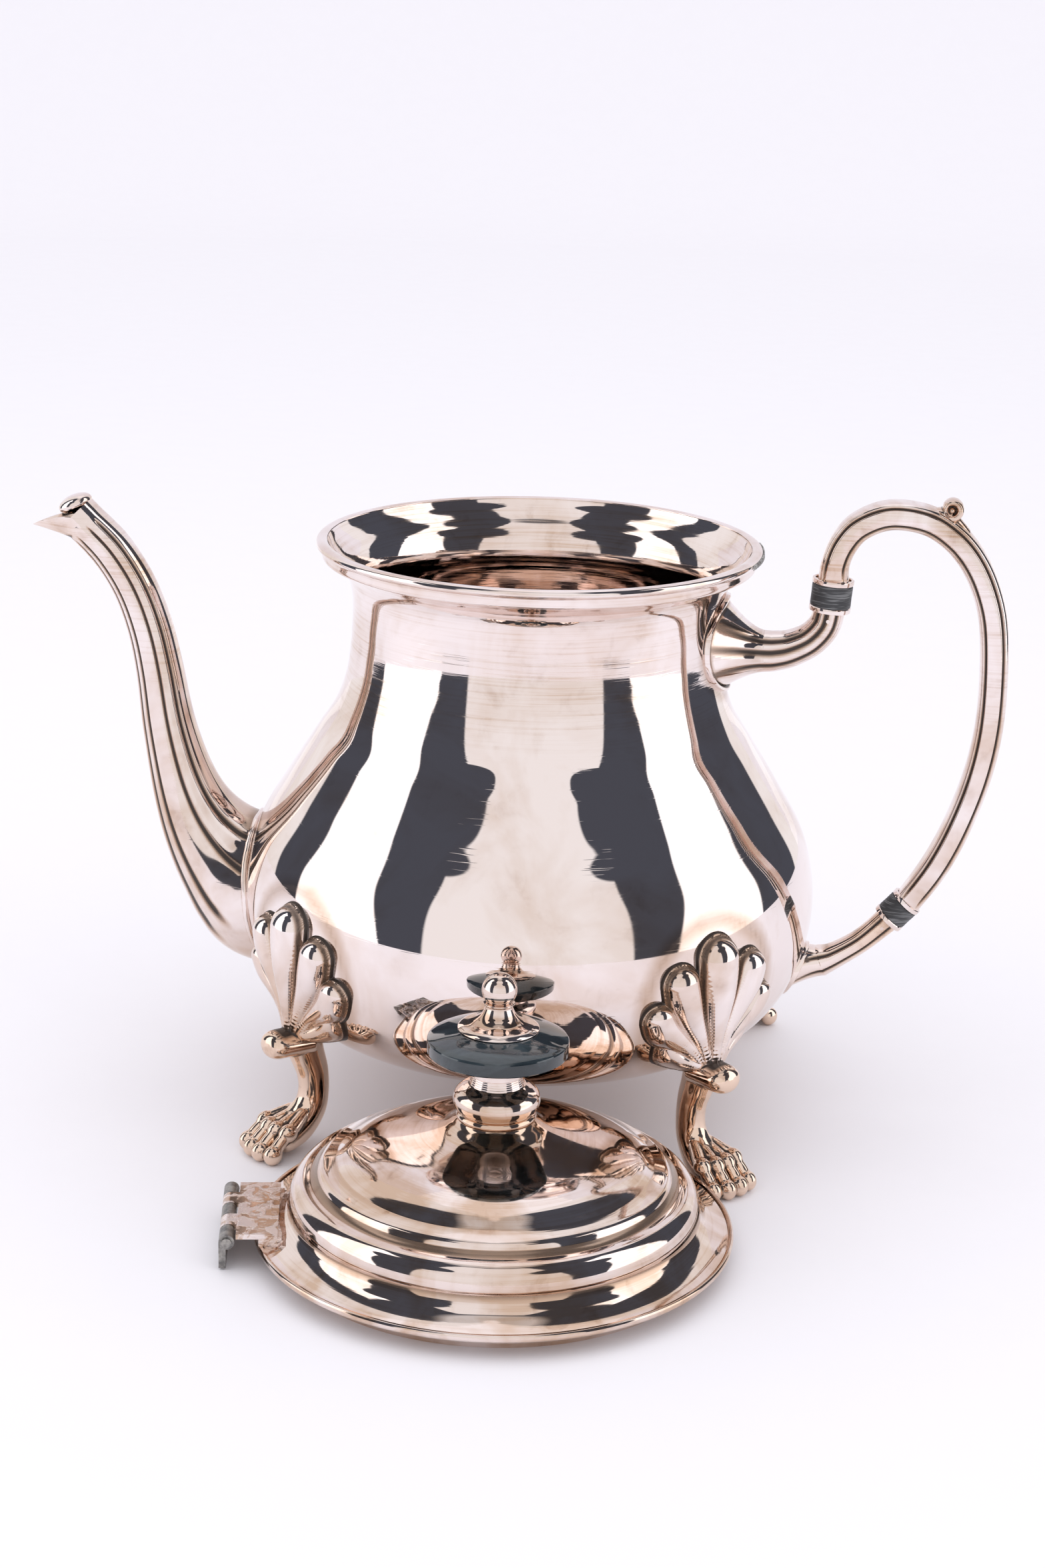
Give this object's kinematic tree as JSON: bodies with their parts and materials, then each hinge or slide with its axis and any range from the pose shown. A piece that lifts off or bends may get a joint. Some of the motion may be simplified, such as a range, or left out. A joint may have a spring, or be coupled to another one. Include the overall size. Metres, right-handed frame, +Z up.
{
  "type": "silver coffee pot",
  "caption": "Pear-shaped silver-plated coffee pot on lion-paw feet, with a long spout, an insulated loop handle and a loose domed lid whose torn hinge leaf still swings.",
  "frame": {"origin": "the pot's axis where it meets the table", "axes": "+Z up, +X from the pot's axis towards the handle, -X towards the spout, -Y towards the loose lid"},
  "size_m": [0.2636, 0.2358, 0.1735],
  "materials": {
    "silver_plate": "polished silver plate with a warm cast and fine scratches",
    "chased_silver": "polished cast silver plate with dark oxide in its grooves",
    "foot_silver": "cast silver plate toned brown by tarnish",
    "worn_metal": "dull grey base metal with little plate left",
    "solder": "rough grey torn solder",
    "fibre": "matt dark grey vulcanised fibre with pale scratches",
    "horn": "polished dark blue-green horn"
  },
  "bodies": {
    "pot": {"body_shell": "silver_plate", "rim_wire": "silver_plate", "spout": "chased_silver", "mouth_cap": "chased_silver", "upper_socket": "chased_silver", "upper_collar_low": "silver_plate", "upper_insulator": "fibre", "upper_collar_top": "silver_plate", "handle_grip": "chased_silver", "thumb_scroll": "chased_silver", "lower_collar_top": "silver_plate", "lower_insulator": "fibre", "lower_collar_low": "silver_plate", "lower_socket": "foot_silver", "insulator_pins": "silver_plate", "foot_front_left": "foot_silver", "foot_front_right": "foot_silver", "foot_back_left": "foot_silver", "foot_back_right": "foot_silver", "knee_shell_front_left": "chased_silver", "knee_shell_front_right": "chased_silver", "knee_shell_back_left": "chased_silver", "knee_shell_back_right": "chased_silver", "hinge_solder": "solder"},
    "lid": {"lid_cover": "silver_plate", "lid_edge_wire": "silver_plate", "lid_bezel": "silver_plate", "knob_collar": "silver_plate", "knob_stem": "silver_plate", "knob_disc": "horn", "knob_finial": "silver_plate", "knob_bolt": "worn_metal", "knob_washer": "worn_metal", "knob_nut": "worn_metal", "hinge_pad": "silver_plate", "hinge_lid_leaf": "silver_plate", "hinge_pin": "worn_metal"},
    "torn_leaf": {"hinge_pot_leaf": "worn_metal"}
  },
  "joints": [
    {"name": "lid_lift", "type": "slide", "parent": "pot", "child": "lid", "axis": [0, -0.9063, 0.4226], "range_m": [0, 0.13]},
    {"name": "leaf_swing", "type": "hinge", "parent": "lid", "child": "torn_leaf", "pos_m": [-0.05819, -0.11142, 0.0076], "axis": [-0.184, 0.9829, 0], "range_deg": [0, 110]}
  ]
}
